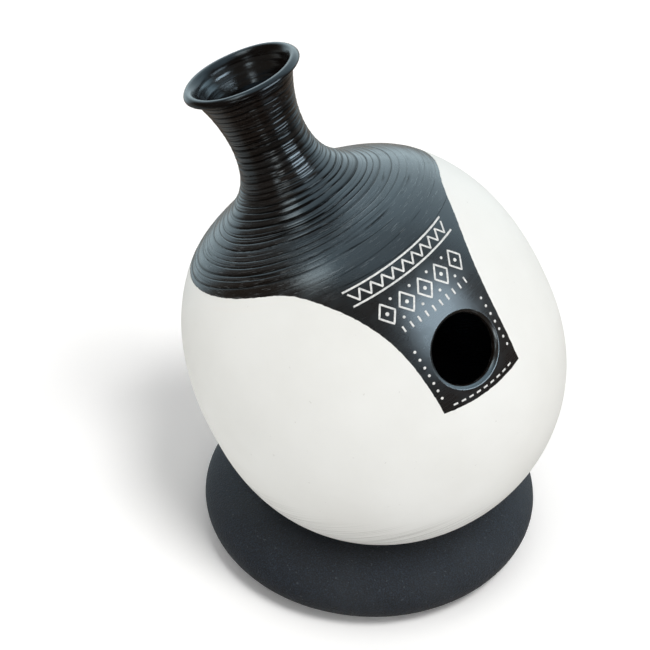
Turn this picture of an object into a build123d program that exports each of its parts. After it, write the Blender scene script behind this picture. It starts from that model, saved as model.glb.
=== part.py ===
from build123d import *
import os
from math import acos, asin, cos, hypot, radians, sin, sqrt

# A leaning clay pot drum with a side hole, standing in a soft foam ring.
# Millimetres, +Z up. The origin is the middle of the ring's underside, on the ground.
# The pot leans towards -X.

# How the pot stands in its ring
LEAN = 26.5  # degrees off upright
POT_OFFSET = 3.7  # centre of the pot's widest circle, from the ring's middle towards +X
SEAT_DEPTH = 3.5  # how far the pot's weight presses it into the foam
SEAT_GAP = 0.3  # between the pot and the hollow that it presses

# Body: two bulging halves that meet at the widest circle
BODY_RADIUS = 130.0
BODY_WALL = 6.0
BOWL_DEPTH = 132.0  # widest circle down to the lowest point
BOWL_FULLNESS = 2.15  # 2 gives an ellipse, more gives a squarer curve
DOME_RISE = 152.0  # widest circle up to where the dome would close
DOME_FULLNESS = 2.31
SEAM_RADIUS = 91.4  # outside of the joint under the neck piece

# Neck: its outside, at heights above the joint under it
SHOULDER_STEP = 20.9  # in from the joint's edge
SHOULDER_HEIGHT = 14.0
THROAT_RADIUS = 32.0
THROAT_HEIGHT = 42.0
WAIST_RADIUS = 25.7
WAIST_HEIGHT = 72.0
NECK_TOP_RADIUS = 35.8
NECK_LENGTH = 112.3
NECK_FLARE = 24.0  # degrees that the wall opens at the top
NECK_WALL = 4.5
NECK_BEND = 4.3  # degrees that the axis turns back towards upright, joint to top

# Rolled rim of the mouth
RIM_THICKNESS = 7.7
RIM_OVERHANG = 0.4  # middle of the roll outside the neck's top edge
RIM_RISE = 1.0  # middle of the roll above the neck's top edge

# Side hole and the lip round it
HOLE_DIAMETER = 46.5
HOLE_HEIGHT = 39.3  # above the widest circle
HOLE_TURN = -34.5  # degrees about the pot's axis, from its upper side
LIP_WIDTH = 3.0
LIP_RISE = 1.2  # above the dome at the lip's outer edge

# Foam ring: a round section, flattened where it rests
RING_RADIUS = 124.6  # outside
RING_WIDTH = 68.8
RING_HEIGHT = 47.0
RING_FLATTENING = 2.0  # how far the weight presses the section flat on the ground

# Steps along the curves that are worked out point by point
BULGE_STEPS = 8
NECK_STEPS = 14

# Degrees between the points of the ring where the seat is tried, and tries to find it
SEAT_STEP = 5
SEAT_TRIES = 30

os.makedirs("parts", exist_ok=True)


# Curves of the body, as distance from the pot's axis and height over the widest circle
def bulge_point(radius, rise, fullness, turn):
    return radius * cos(turn) ** (2 / fullness), rise * sin(turn) ** (2 / fullness)


def bulge_turn(rise, fullness, height):
    return asin((height / rise) ** (fullness / 2))


def bulge_height(radius, rise, fullness, distance):
    return bulge_point(radius, rise, fullness, acos((distance / radius) ** (fullness / 2)))[1]


def bulge_normal(radius, rise, fullness, height):
    distance = bulge_point(radius, rise, fullness, bulge_turn(rise, fullness, height))[0]
    outward = (distance / radius) ** (fullness - 1) / radius
    upward = (height / rise) ** (fullness - 1) / rise
    length = hypot(outward, upward)
    return outward / length, upward / length


def bulge_line(radius, rise, fullness, height, way):
    """Spline from the widest circle to a height on the bulge, upwards or downwards."""
    last = bulge_turn(rise, fullness, height)
    turns = [last * step / BULGE_STEPS for step in range(BULGE_STEPS + 1)]
    points = [bulge_point(radius, rise, fullness, turn) for turn in turns]
    outward, upward = bulge_normal(radius, rise, fullness, height)
    return Spline(
        *[(distance, way * lift) for distance, lift in points],
        tangents=[(0, way), (-upward, way * outward)],
    )


def bowl_section(growth):
    """Lines of the bowl's outside, moved outwards by growth."""
    return bulge_line(BODY_RADIUS + growth, BOWL_DEPTH + growth, BOWL_FULLNESS, BOWL_DEPTH + growth, -1)


def dome_section(growth):
    """Lines of the dome's outside, moved outwards by growth."""
    return bulge_line(BODY_RADIUS + growth, DOME_RISE + growth, DOME_FULLNESS, seam_height, 1)


seam_height = bulge_height(BODY_RADIUS, DOME_RISE, DOME_FULLNESS, SEAM_RADIUS)

# Seat of the leaning pot on the ring
lean = radians(LEAN)
half_height = (RING_HEIGHT + RING_FLATTENING) / 2
ring_middle = RING_RADIUS - RING_WIDTH / 2


def press_depth(height):
    """How deep the bowl reaches into the ring, with its widest circle's centre at a height."""
    depths = []
    for turn in range(0, 181, SEAT_STEP):
        for tilt in range(0, 181, SEAT_STEP):
            distance = ring_middle + RING_WIDTH / 2 * cos(radians(tilt))
            x = distance * cos(radians(turn)) - POT_OFFSET
            y = distance * sin(radians(turn))
            z = RING_HEIGHT - half_height + half_height * sin(radians(tilt)) - height
            below = max(x * sin(lean) - z * cos(lean), 0)
            aside = hypot(x * cos(lean) + z * sin(lean), y)
            share = (aside / BODY_RADIUS) ** BOWL_FULLNESS + (below / BOWL_DEPTH) ** BOWL_FULLNESS
            depths.append(hypot(x, y, z) * (share ** (-1 / BOWL_FULLNESS) - 1))
    return max(depths)


lowest, highest = RING_HEIGHT, RING_HEIGHT + BODY_RADIUS + BOWL_DEPTH
for _ in range(SEAT_TRIES):
    pot_height = (lowest + highest) / 2
    if press_depth(pot_height) > SEAT_DEPTH:
        lowest = pot_height
    else:
        highest = pot_height


# Planes and axes
def section_plane(plane):
    """Plane through another plane's axis: x is the distance from that axis, y is along it."""
    return Plane(plane.origin, x_dir=plane.x_dir, z_dir=-plane.y_dir)


def centre_axis(plane):
    return Axis(plane.origin, plane.z_dir)


pot_plane = Plane(
    (POT_OFFSET, 0, pot_height),
    x_dir=(cos(lean), 0, sin(lean)),
    z_dir=(-sin(lean), 0, cos(lean)),
)
pot_section = section_plane(pot_plane)
pot_axis = centre_axis(pot_plane)


def neck_plane(height):
    """Plane square to the neck's bent axis, at a height along it above the joint."""
    curvature = radians(NECK_BEND) / NECK_LENGTH
    turn = curvature * height
    aside = (1 - cos(turn)) / curvature
    along = seam_height + sin(turn) / curvature
    return Plane(
        pot_plane.origin + pot_plane.x_dir * aside + pot_plane.z_dir * along,
        x_dir=pot_plane.x_dir * cos(turn) - pot_plane.z_dir * sin(turn),
        z_dir=pot_plane.z_dir * cos(turn) + pot_plane.x_dir * sin(turn),
    )


hole_turn = radians(HOLE_TURN)
hole_out, hole_up = bulge_normal(BODY_RADIUS, DOME_RISE, DOME_FULLNESS, HOLE_HEIGHT)
hole_distance = bulge_point(
    BODY_RADIUS, DOME_RISE, DOME_FULLNESS, bulge_turn(DOME_RISE, DOME_FULLNESS, HOLE_HEIGHT)
)[0]
hole_side = pot_plane.x_dir * cos(hole_turn) + pot_plane.y_dir * sin(hole_turn)
hole_plane = Plane(
    pot_plane.origin + hole_side * hole_distance + pot_plane.z_dir * HOLE_HEIGHT,
    x_dir=pot_plane.z_dir * hole_out - hole_side * hole_up,
    z_dir=hole_side * hole_out + pot_plane.z_dir * hole_up,
)
lip_radius = HOLE_DIAMETER / 2 + LIP_WIDTH
lip_sag = BODY_RADIUS - sqrt(BODY_RADIUS**2 - lip_radius**2)  # the dome falls away this far at the lip
lip_top = LIP_RISE - lip_sag
lip_bottom = -lip_sag - BODY_WALL - LIP_RISE

# Lower half of the body, a round-bottomed bowl
with BuildPart() as lower_bowl:
    with BuildSketch(pot_section):
        with BuildLine():
            outside = bowl_section(0)
            inside = bowl_section(-BODY_WALL)
            Line(outside @ 0, inside @ 0)
            Line(outside @ 1, inside @ 1)
        make_face()
    revolve(axis=pot_axis)

lower_bowl.part.label = "lower_bowl"
export_step(lower_bowl.part, "parts/lower_bowl.step")

# Upper half of the body, luted on the bowl's edge and cut for the side hole's lip
with BuildPart() as upper_dome:
    with BuildSketch(pot_section):
        with BuildLine():
            outside = dome_section(0)
            inside = dome_section(-BODY_WALL)
            Line(outside @ 0, inside @ 0)
            Line(outside @ 1, inside @ 1)
        make_face()
    revolve(axis=pot_axis)
    with BuildSketch(hole_plane):
        Circle(lip_radius)
    extrude(amount=lip_radius, both=True, mode=Mode.SUBTRACT)

upper_dome.part.label = "upper_dome"
export_step(upper_dome.part, "parts/upper_dome.step")

# Lip round the side hole, seated in the dome's cut and rounded over outside and in
with BuildPart() as hole_lip:
    with BuildSketch(section_plane(hole_plane)):
        with Locations((lip_radius - LIP_WIDTH / 2, (lip_top + lip_bottom) / 2)):
            SlotOverall(lip_top - lip_bottom, LIP_WIDTH, rotation=90)
    revolve(axis=centre_axis(hole_plane))

hole_lip.part.label = "hole_lip"
export_step(hole_lip.part, "parts/hole_lip.step")

# Neck with its shoulder, thrown as one piece: circles along the gently bent axis
seam_out, seam_up = bulge_normal(BODY_RADIUS, DOME_RISE, DOME_FULLNESS, seam_height)
flare = radians(NECK_FLARE)
with BuildLine() as neck_outline:
    neck_line = Spline(
        (SEAM_RADIUS, 0),
        (SEAM_RADIUS - SHOULDER_STEP, SHOULDER_HEIGHT),
        (THROAT_RADIUS, THROAT_HEIGHT),
        (WAIST_RADIUS, WAIST_HEIGHT),
        (NECK_TOP_RADIUS, NECK_LENGTH),
        tangents=[(-seam_up, seam_out), (sin(flare), cos(flare))],
    )


def neck_circle(share, inset):
    """Height and radius of the neck at a share of its outline, moved inwards by inset."""
    place = neck_line @ share
    way = neck_line % share
    return place.Y + inset * way.X, place.X - inset * way.Y


with BuildPart() as neck:
    for inset, mode in ((0, Mode.ADD), (NECK_WALL, Mode.SUBTRACT)):
        for step in range(NECK_STEPS + 1):
            height, radius = neck_circle(step / NECK_STEPS, inset)
            with BuildSketch(neck_plane(height)):
                Circle(radius)
        loft(mode=mode)

neck.part.label = "neck"
export_step(neck.part, "parts/neck.step")

# Rolled rim on the neck's top edge
rim_radius = NECK_TOP_RADIUS + RIM_OVERHANG
with BuildPart() as mouth_rim:
    with BuildSketch(section_plane(neck_plane(NECK_LENGTH))):
        with Locations((rim_radius, RIM_RISE)):
            Circle(RIM_THICKNESS / 2)
        with Locations((rim_radius, 0)):
            Rectangle(RIM_THICKNESS, RIM_THICKNESS, align=(Align.CENTER, Align.MAX), mode=Mode.SUBTRACT)
    revolve(axis=centre_axis(neck_plane(NECK_LENGTH)))

mouth_rim.part.label = "mouth_rim"
export_step(mouth_rim.part, "parts/mouth_rim.step")

# Foam ring with a flat foot and the hollow that the pot's weight presses into it
with BuildPart() as foam_ring:
    with BuildSketch(Plane.XZ):
        with Locations((ring_middle, RING_HEIGHT - half_height)):
            Ellipse(RING_WIDTH / 2, half_height)
        with Locations((ring_middle, 0)):
            Rectangle(RING_WIDTH, RING_HEIGHT, align=(Align.CENTER, Align.MAX), mode=Mode.SUBTRACT)
    revolve(axis=Axis.Z)
    with BuildSketch(pot_section):
        with BuildLine():
            hollow = bowl_section(SEAT_GAP)
            Polyline(hollow @ 0, (0, 0), hollow @ 1)
        make_face()
    revolve(axis=pot_axis, mode=Mode.SUBTRACT)

foam_ring.part.label = "foam_ring"
export_step(foam_ring.part, "parts/foam_ring.step")
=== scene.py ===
"""Looks of a leaning clay pot drum and its foam ring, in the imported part's frame. Metres, +Z up."""
from math import cos, pi, radians, sin

import bmesh
import bpy
import numpy as np
from mathutils import Matrix, kdtree


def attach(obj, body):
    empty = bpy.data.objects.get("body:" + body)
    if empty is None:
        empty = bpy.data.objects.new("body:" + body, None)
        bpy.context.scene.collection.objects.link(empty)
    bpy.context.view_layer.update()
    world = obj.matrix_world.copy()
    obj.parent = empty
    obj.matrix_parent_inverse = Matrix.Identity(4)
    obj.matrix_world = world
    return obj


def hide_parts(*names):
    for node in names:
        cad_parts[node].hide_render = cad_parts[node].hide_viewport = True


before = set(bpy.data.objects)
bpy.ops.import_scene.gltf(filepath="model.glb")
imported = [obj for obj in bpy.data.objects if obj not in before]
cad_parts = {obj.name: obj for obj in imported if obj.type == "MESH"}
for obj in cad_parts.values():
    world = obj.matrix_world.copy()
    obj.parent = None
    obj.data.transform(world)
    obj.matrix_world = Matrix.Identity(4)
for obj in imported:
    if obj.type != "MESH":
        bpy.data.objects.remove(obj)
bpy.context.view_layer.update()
chance = np.random.default_rng(11)

# The pot's place in its ring
LEAN = radians(26.5)
POT_CENTRE = np.array((0.0037, 0.0, 0.153716))
POT_X = np.array((cos(LEAN), 0.0, sin(LEAN)))
POT_Y = np.array((0.0, 1.0, 0.0))
POT_Z = np.array((-sin(LEAN), 0.0, cos(LEAN)))

# Body: two bulging halves
BODY_RADIUS = 0.130
BODY_WALL = 0.006
BOWL_DEPTH = 0.132
BOWL_FULLNESS = 2.15
DOME_RISE = 0.152
DOME_FULLNESS = 2.31
SEAM_RADIUS = 0.0914
SEAM_HEIGHT = DOME_RISE * (1 - (SEAM_RADIUS / BODY_RADIUS) ** DOME_FULLNESS) ** (1 / DOME_FULLNESS)

# Neck: radius and height of its outside, from the seam up
NECK_STATIONS = ((SEAM_RADIUS, 0.0), (0.0705, 0.014), (0.0320, 0.042), (0.0257, 0.072), (0.0358, 0.1123))
NECK_LENGTH = NECK_STATIONS[-1][1]
NECK_FLARE = radians(24.0)
NECK_WALL = 0.0045
MOUTH_WALL = 0.0030
THINNING_LENGTH = 0.025
NECK_CURVE = radians(4.3) / NECK_LENGTH

# Side hole and its rounded lip
HOLE_RADIUS = 0.02325
HOLE_HEIGHT = 0.0393
HOLE_TURN = radians(-34.5)
LIP_RADIUS = HOLE_RADIUS + 0.003

# Foam ring
RING_RADIUS = 0.1246
RING_WIDTH = 0.0688
RING_HEIGHT = 0.047
RING_FLATTENING = 0.002
SEAT_GAP = 0.0003

# Edge of the black coat: a tongue round the side hole that flares into a circle under the neck
TONGUE_TURN = radians(-34.8)
TONGUE_HALF = radians(14.16)
FLARE_TURN = radians(31.02)
FLARE_RATE = 7.18
FLARE_DROP = 0.00343
EDGE_HEIGHT = 0.1177
EDGE_TILT = 0.0023
EDGE_TILT_TURN = radians(40.0)
TONGUE_BOTTOM = 0.0059
TONGUE_BOTTOM_TURN = radians(-29.5)
TONGUE_BOTTOM_SAG = 0.047
FAR_INSIDE = 0.05
DOME_FOOT = -0.03

# Mesh steps
TURNS = 288
BOWL_RINGS = 56
DOME_RINGS = 48
NECK_RINGS = 500
NECK_TURNS = 160
INNER_RINGS = 100
WINDOW_COLUMNS = 13
WINDOW_ROWS = (1, 31)
WINDOW_LOOPS = 6
SPLINE_STEPS = 400
HALVINGS = 40
WAY_STEP = 0.0001
TURN_STEP = 0.002


# Surfaces of the pot
def on_pot(distance, along, turn):
    """Points at a distance from the pot's axis, a height along it and a turn about it.
    Above the seam the axis bends back towards upright."""
    distance, along, turn = np.broadcast_arrays(distance, along, turn)
    bend = np.maximum(along - SEAM_HEIGHT, 0) * NECK_CURVE
    out = distance * np.cos(turn)
    x = (1 - np.cos(bend)) / NECK_CURVE + out * np.cos(bend)
    y = distance * np.sin(turn)
    z = np.minimum(along, SEAM_HEIGHT) + np.sin(bend) / NECK_CURVE - out * np.sin(bend)
    return POT_CENTRE + x[..., None] * POT_X + y[..., None] * POT_Y + z[..., None] * POT_Z


def dome_distance(along, growth=0.0):
    """Distance from the axis of the dome's outside, moved outwards by growth."""
    share = np.maximum(along, 0) / (DOME_RISE + growth)
    return (BODY_RADIUS + growth) * (1 - share**DOME_FULLNESS) ** (1 / DOME_FULLNESS)


def on_dome(turn, along, growth=0.0):
    return on_pot(dome_distance(along, growth), along, turn)


def bulge_normals(turn, distance, along, rise, fullness):
    """Outward unit normals of the body's upper or lower bulge."""
    out = (distance / BODY_RADIUS) ** (fullness - 1) / BODY_RADIUS
    up = np.sign(along) * (np.abs(along) / rise) ** (fullness - 1) / rise
    out, up, turn = np.broadcast_arrays(out, up, turn)
    side = np.cos(turn)[..., None] * POT_X + np.sin(turn)[..., None] * POT_Y
    normals = out[..., None] * side + up[..., None] * POT_Z
    return normals / np.linalg.norm(normals, axis=-1, keepdims=True)


def dome_normals(turn, along):
    return bulge_normals(turn, dome_distance(along), along, DOME_RISE, DOME_FULLNESS)


def bowl_depth_share(points, growth):
    """How far points reach towards the bowl's outside, moved outwards by growth: 1 is on it."""
    place = points - POT_CENTRE
    below = np.maximum(-place @ POT_Z, 0) / (BOWL_DEPTH + growth)
    aside = np.hypot(place @ POT_X, place @ POT_Y) / (BODY_RADIUS + growth)
    return (aside**BOWL_FULLNESS + below**BOWL_FULLNESS) ** (1 / BOWL_FULLNESS)


def clamped_spline(points, first_way, last_way):
    """Smooth curve through points with the given end directions, finely stepped along its length."""
    points = np.array(points)
    spans = np.hypot(*np.diff(points, axis=0).T)
    system = np.eye(len(points))
    sides = np.zeros_like(points)
    sides[0], sides[-1] = first_way, last_way
    for i in range(1, len(points) - 1):
        before, after = spans[i - 1], spans[i]
        system[i, i - 1 : i + 2] = after, 2 * (before + after), before
        steps = np.diff(points[i - 1 : i + 2], axis=0)
        sides[i] = 3 * (after / before * steps[0] + before / after * steps[1])
    slopes = np.linalg.solve(system, sides)
    t = np.linspace(0, 1, SPLINE_STEPS, endpoint=False)[:, None]
    runs = []
    for i, span in enumerate(spans):
        start = points[i] * (1 + 2 * t) * (1 - t) ** 2 + slopes[i] * span * t * (1 - t) ** 2
        end = points[i + 1] * t**2 * (3 - 2 * t) - slopes[i + 1] * span * t**2 * (1 - t)
        runs.append(start + end)
    line = np.concatenate([*runs, points[-1:]])
    return np.concatenate([[0], np.cumsum(np.hypot(*np.diff(line, axis=0).T))]), line


def unit(vectors):
    return vectors / np.linalg.norm(vectors, axis=-1, keepdims=True)


def normals_of(surface, way, turn, way_step=WAY_STEP):
    """Unit normals of a surface of a way and a turn, from points a small step either side."""
    along_way = surface(way + way_step, turn) - surface(way - way_step, turn)
    along_turn = surface(way, turn + TURN_STEP) - surface(way, turn - TURN_STEP)
    return unit(np.cross(along_turn, along_way))


# Meshes
def grid_quads(rows, columns, closed_rows=False):
    """Corner numbers of the quads between rows of points that each close on themselves."""
    first = np.arange(rows if closed_rows else rows - 1)[:, None] * columns
    above = (first + columns) % (rows * columns)
    column = np.arange(columns)[None, :]
    after = (column + 1) % columns
    corners = (first + column, first + after, above + after, above + column)
    return np.stack(corners, -1).reshape(-1, 4)


def loop_quads(lower, upper):
    """Corner numbers of the quads between two closed loops of numbered points."""
    lower, upper = np.asarray(lower), np.asarray(upper)
    return np.stack([lower, np.roll(lower, -1), np.roll(upper, -1), upper], -1)


def new_piece(name, points, faces, material, normals=None, fields=()):
    """Closed smooth mesh with a material, exact normals where they aren't zero, and number fields."""
    mesh = bpy.data.meshes.new(name)
    corners = [[int(corner) for corner in face] for face in faces]
    mesh.from_pydata(np.asarray(points).tolist(), [], corners)
    work = bmesh.new()
    work.from_mesh(mesh)
    bmesh.ops.recalc_face_normals(work, faces=work.faces)
    work.to_mesh(mesh)
    work.free()
    mesh.shade_smooth()
    for field, values in dict(fields).items():
        layer = mesh.attributes.new(field, "FLOAT", "POINT")
        layer.data.foreach_set("value", np.broadcast_to(values, len(points)).astype(np.float32))
    if normals is not None:
        mesh.normals_split_custom_set_from_vertices(np.asarray(normals).tolist())
    mesh.materials.append(material)
    piece = bpy.data.objects.new(name, mesh)
    bpy.context.collection.objects.link(piece)
    return piece


# Number fields of plain black clay: far inside the coat's edge, on the pot's outside and unmarked
BLACK_FIELDS = {
    "side_edge": FAR_INSIDE,
    "bottom_edge": FAR_INSIDE,
    "inside": 0.0,
    "sunk": 0.0,
    "burnished": 0.0,
}


def new_clay(node, points, faces, normals, fields):
    """Clay piece that stands for a node of the pot. Fields that aren't given are plain black clay's."""
    piece = new_piece(node + "_clay", points, faces, clay, normals, {**BLACK_FIELDS, **fields})
    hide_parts(node)
    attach(piece, "pot")


# Nodes of the materials
def add_node(tree, kind, inputs=(), **settings):
    """New shader node with its settings, and its inputs set to values or linked to sockets."""
    node = tree.nodes.new("ShaderNode" + kind)
    for name, value in settings.items():
        setattr(node, name, value)
    for name, value in dict(inputs).items():
        if isinstance(value, bpy.types.NodeSocket):
            tree.links.new(value, node.inputs[name])
        else:
            node.inputs[name].default_value = value
    return node


def calculate(tree, operation, first, second=0.0):
    return add_node(tree, "Math", {0: first, 1: second}, operation=operation).outputs[0]


def in_range(tree, value, low, high, to_low=0.0, to_high=1.0, smooth=False):
    """Number moved from one range to another and kept within it."""
    inputs = {"Value": value, "From Min": low, "From Max": high, "To Min": to_low, "To Max": to_high}
    kind = "SMOOTHSTEP" if smooth else "LINEAR"
    return add_node(tree, "MapRange", inputs, interpolation_type=kind).outputs["Result"]


def mix_colour(tree, share, first, second, blend="MIX"):
    inputs = {0: share, 6: first, 7: second}
    return add_node(tree, "Mix", inputs, data_type="RGBA", blend_type=blend).outputs[2]


def noise(tree, place, scale, detail=3.0, way=None):
    """Noise over a place, or along a fourth way that runs much faster than the place does."""
    inputs = {"Vector": place, "Scale": scale, "Detail": detail}
    if way is None:
        return add_node(tree, "TexNoise", inputs).outputs["Fac"]
    inputs["W"] = way
    return add_node(tree, "TexNoise", inputs, noise_dimensions="4D").outputs["Fac"]


def ring_noise(tree, place, way, scale, detail, crowding):
    """Noise drawn out into rings round the pot: it changes that many times faster up the pot."""
    return noise(tree, place, scale, detail, calculate(tree, "MULTIPLY", way, crowding))


def new_material(name):
    """Material with one shader, its node tree and its place on the piece."""
    material = bpy.data.materials.new(name)
    material.use_nodes = True
    tree = material.node_tree
    place = add_node(tree, "TexCoord").outputs["Object"]
    return material, tree, tree.nodes["Principled BSDF"], place


def field_value(tree, name):
    return add_node(tree, "Attribute", attribute_name=name).outputs["Fac"]


def link(tree, shader, **sockets):
    for name, socket in sockets.items():
        tree.links.new(socket, shader.inputs[name.replace("_", " ").title()])


# Clay: a smooth white coat, and a black coat with throwing lines, painted shade in its grooves, arcs and
# inside, and painted glints
WHITE = (0.84, 0.838, 0.808, 1)
WHITE_SHADE = (0.79, 0.785, 0.75, 1)
WHITE_SPECK = (0.42, 0.40, 0.36, 1)
WHITE_SCRATCH = (0.46, 0.45, 0.41, 1)
BROWN_BLACK = (0.0090, 0.0058, 0.0043, 1)
BLUE_BLACK = (0.0098, 0.0108, 0.0118, 1)
WORN_BLACK = (0.024, 0.023, 0.022, 1)
# Painted shade in the grooves, in arcs round the dome's top, and on the rim
PAINTED_GROOVE_SHADE = (0.0016, 0.0012, 0.0010, 1)
# Painted shade on the neck's inside and on the rim
PAINTED_INNER_SHADE = (0.0026, 0.0012, 0.0009, 1)
# Painted glints: short light dashes along the rings, from the shoulder up the neck
GLINT_GREY = (0.075, 0.080, 0.082, 1)
GLOSS_TINT = (0.70, 0.87, 1.0, 1)
EDGE_RAGGEDNESS = 0.00022
EDGE_SOFTNESS = 0.0002
GROOVE_SINK = (0.00005, 0.00026)
COAT_SHINE = 0.5
GROOVE_SHINE = 0.08
BURNISHED_SHINE = 1.0
INNER_ROUGHNESS = 0.05

# Roughness of the black coat's smooth and rough spots: on the tongue, on the shoulder and on the neck
SMOOTH_SPOTS = (0.27, 0.17, 0.13)
ROUGH_SPOTS = (0.41, 0.31, 0.27)

# Zones of the coats: heights over the ground, or ways up the pot, which above the seam follow the neck
SCRATCHED_HEIGHT = (0.088, 0.114)
SHOULDER_WAY = (0.095, 0.135)
ARCS_WAY = (0.098, 0.110)
THROWN_WAY = (0.100, 0.124)
NECK_WAY = (0.145, 0.185)
LAST_GLINTS_WAY = (0.150, 0.175)
FAINT_RIBS_WAY = (0.150, 0.180)


def black_share(tree, place):
    """1 inside the black coat's slightly ragged edge, and 0 outside it."""
    raggedness = noise(tree, place, 260.0)
    raggedness = in_range(tree, raggedness, 0.3, 0.7, -EDGE_RAGGEDNESS, EDGE_RAGGEDNESS)
    edge = calculate(tree, "MINIMUM", field_value(tree, "side_edge"), field_value(tree, "bottom_edge"))
    edge = calculate(tree, "ADD", edge, raggedness)
    return in_range(tree, edge, -EDGE_SOFTNESS, EDGE_SOFTNESS, smooth=True)


def white_coat(tree, place, patches, fine_lines):
    """Colour of the white coat, and the scratches low on it."""
    colour = mix_colour(tree, in_range(tree, patches, 0.35, 0.7), WHITE, WHITE_SHADE)
    specks = in_range(tree, noise(tree, place, 330.0, 1.0), 0.77, 0.81, 0.0, 0.25)
    colour = mix_colour(tree, specks, colour, WHITE_SPECK)
    height = add_node(tree, "SeparateXYZ", {"Vector": place}).outputs["Z"]
    low = in_range(tree, height, *SCRATCHED_HEIGHT, 1.0, 0.0, smooth=True)
    scratches = in_range(tree, fine_lines, 0.53, 0.61, 0.0, 0.85)
    scratches = calculate(tree, "MULTIPLY", low, scratches)
    return mix_colour(tree, scratches, colour, WHITE_SCRATCH), scratches


def groove_shade_and_dullness(tree, place, way):
    """How much painted shade, and how much duller gloss, the black coat gets in the ridges' grooves and
    in arcs round the dome's top.
    """
    # Painted shade in the grooves, darker the deeper they sink
    groove = in_range(tree, field_value(tree, "sunk"), *GROOVE_SINK, 0.0, 0.9)
    # Arcs of painted shade, with no groove under them, broken here and there
    arcs = ring_noise(tree, place, way, 3.0, 1.0, 40.0)
    from_arc = calculate(tree, "ABSOLUTE", calculate(tree, "SUBTRACT", arcs, 0.5))
    unbroken = in_range(tree, noise(tree, place, 34.0, 2.0), 0.42, 0.56)
    arcs = calculate(tree, "MULTIPLY", in_range(tree, from_arc, 0.004, 0.014, 0.9, 0.0), unbroken)
    arcs = calculate(tree, "MULTIPLY", arcs, in_range(tree, way, *ARCS_WAY))
    return calculate(tree, "MAXIMUM", groove, arcs)


def black_coat(tree, place, way, patches, lines, thrown, groove, inside):
    """Colour of the black coat, with painted shade in its grooves, arcs and inside, and painted glints
    along its rings.
    """
    colour = mix_colour(tree, in_range(tree, patches, 0.46, 0.70), BROWN_BLACK, BLUE_BLACK)
    worn = calculate(tree, "MULTIPLY", thrown, in_range(tree, lines, 0.54, 0.75, 0.0, 0.5))
    colour = mix_colour(tree, worn, colour, WORN_BLACK)
    # Painted shade in the grooves and arcs
    colour = mix_colour(tree, groove, colour, PAINTED_GROOVE_SHADE)
    # Painted glints: short light dashes along the rings, fading up the neck
    painted_glints = in_range(tree, ring_noise(tree, place, way, 120.0, 1.0, 13.0), 0.62, 0.70, 0.0, 0.8)
    painted_glints = calculate(tree, "MULTIPLY", thrown, painted_glints)
    painted_glints = calculate(tree, "MULTIPLY", painted_glints, in_range(tree, way, *LAST_GLINTS_WAY, 1.0, 0.2))
    colour = mix_colour(tree, painted_glints, colour, GLINT_GREY)
    # Painted shade on the neck's inside and on the rim
    return mix_colour(tree, in_range(tree, inside, 0.0, 1.0, 0.0, 0.85), colour, PAINTED_INNER_SHADE)


def black_roughness(tree, way, lines, mottle, thrown, inside):
    """Roughness of the black coat, which is glossier up the pot and a little duller inside."""
    polish = in_range(tree, way, *NECK_WAY, smooth=True)

    def up_pot(tongue, shoulder, neck):
        below = in_range(tree, way, *SHOULDER_WAY, tongue, shoulder)
        return in_range(tree, polish, 0.0, 1.0, below, neck)

    line_share = calculate(tree, "MULTIPLY", thrown, in_range(tree, lines, 0.40, 0.70, 0.0, 0.5))
    dry_share = in_range(tree, mottle, 0.50, 0.66, 0.0, 0.5)
    share = calculate(tree, "ADD", line_share, dry_share)
    roughness = in_range(tree, share, 0.0, 1.0, up_pot(*SMOOTH_SPOTS), up_pot(*ROUGH_SPOTS))
    return calculate(tree, "ADD", roughness, calculate(tree, "MULTIPLY", inside, INNER_ROUGHNESS))


def black_relief(tree, way, lines, fine_lines, mottle, thrown):
    """Fine throwing lines and mottle of the black coat."""
    marked = calculate(tree, "MULTIPLY", thrown, in_range(tree, way, *FAINT_RIBS_WAY, 1.0, 0.45))
    ribs = calculate(tree, "MULTIPLY", calculate(tree, "ADD", lines, fine_lines), marked)
    ribs = calculate(tree, "MULTIPLY", ribs, 0.6)
    return calculate(tree, "ADD", ribs, calculate(tree, "MULTIPLY", mottle, 0.5))


def make_clay():
    material, tree, shader, place = new_material("pot_clay")
    way = field_value(tree, "ring_way")
    inside = field_value(tree, "inside")
    lines = ring_noise(tree, place, way, 5.0, 4.0, 130.0)
    fine_lines = ring_noise(tree, place, way, 9.0, 2.0, 210.0)
    thrown = in_range(tree, way, *THROWN_WAY, 0.12, 1.0, smooth=True)
    mottle = noise(tree, place, 60.0, 7.0)
    grain = noise(tree, place, 900.0, 5.0)
    patches = noise(tree, place, 14.0, 4.0)

    black = black_share(tree, place)
    white, scratches = white_coat(tree, place, patches, fine_lines)
    groove = groove_shade_and_dullness(tree, place, way)
    dark = black_coat(tree, place, way, patches, lines, thrown, groove, inside)
    colour = mix_colour(tree, black, white, dark)

    white_rough = in_range(tree, grain, 0.3, 0.7, 0.46, 0.56)
    black_rough = black_roughness(tree, way, lines, mottle, thrown, inside)
    roughness = in_range(tree, black, 0.0, 1.0, white_rough, black_rough)

    ribs = black_relief(tree, way, lines, fine_lines, mottle, thrown)
    relief = in_range(tree, black, 0.0, 1.0, scratches, ribs)
    relief = calculate(tree, "ADD", relief, calculate(tree, "MULTIPLY", grain, 0.25))
    bump = add_node(tree, "Bump", {"Strength": 0.45, "Distance": 0.00035, "Height": relief})

    shine = in_range(tree, groove, 0.0, 1.0, COAT_SHINE, GROOVE_SHINE)
    shine = in_range(tree, field_value(tree, "burnished"), 0.0, 1.0, shine, BURNISHED_SHINE)
    link(tree, shader, base_color=colour, roughness=roughness, normal=bump.outputs["Normal"])
    tree.links.new(shine, shader.inputs["Specular IOR Level"])
    shader.inputs["Specular Tint"].default_value = GLOSS_TINT
    return material


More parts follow.
